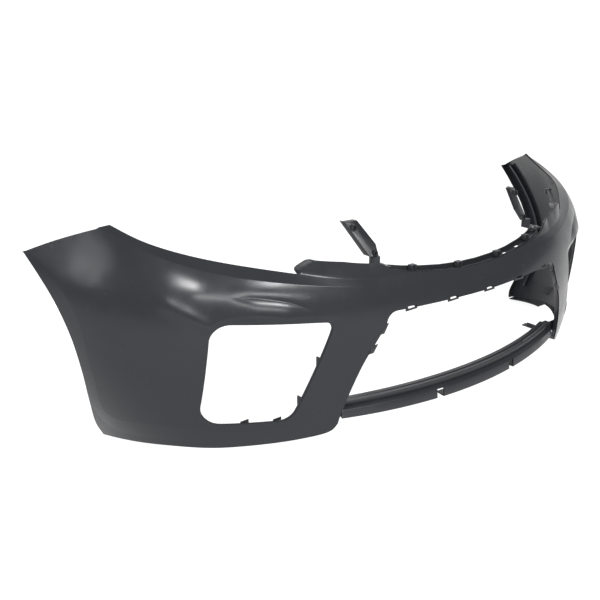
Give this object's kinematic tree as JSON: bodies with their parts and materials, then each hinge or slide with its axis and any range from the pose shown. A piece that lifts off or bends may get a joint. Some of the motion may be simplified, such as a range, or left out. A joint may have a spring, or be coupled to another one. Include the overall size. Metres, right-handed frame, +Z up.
{
  "type": "bumper cover",
  "caption": "Primed front bumper cover with fog lamp and lower grille openings, raised headlamp panels, upper arms, grille rail and a channel crossbar.",
  "frame": {"origin": "midway between the two arm head bolt holes, on the back faces of the arms' head pads", "axes": "+X across the car to its left side, -Y forwards out of the nose, +Z up, as the cover sits on the car"},
  "size_m": [1.7504, 0.6525, 0.5226],
  "materials": {
    "primed_skin": "satin dark grey primer on moulded thermoplastic",
    "black_plastic": "fine grained black moulding",
    "crossbar_plastic": "smooth charcoal moulding",
    "clip_nylon": "black nylon, slightly glossy",
    "zinc_steel": "zinc plated"
  },
  "bodies": {
    "root": {"cover_skin": "primed_skin", "upper_grille_rail": "black_plastic", "grille_clip_towers": "black_plastic", "upper_arm_left": "black_plastic", "upper_arm_right": "black_plastic", "arm_rivets": "zinc_steel", "lower_crossbar": "crossbar_plastic", "crossbar_bracket_left": "black_plastic", "crossbar_bracket_right": "black_plastic", "crossbar_screws": "zinc_steel", "undertray_flange_left": "black_plastic", "undertray_flange_right": "black_plastic", "wing_gusset_left": "black_plastic", "wing_gusset_right": "black_plastic", "arch_rib_left": "black_plastic", "arch_rib_right": "black_plastic", "headlamp_strap_left": "black_plastic", "headlamp_strap_right": "black_plastic", "strap_nuts": "zinc_steel", "fog_clips_left": "clip_nylon", "fog_clips_right": "clip_nylon", "lower_grille_clips": "clip_nylon", "pillar_clips_left": "clip_nylon", "pillar_clips_right": "clip_nylon"}
  },
  "joints": []
}
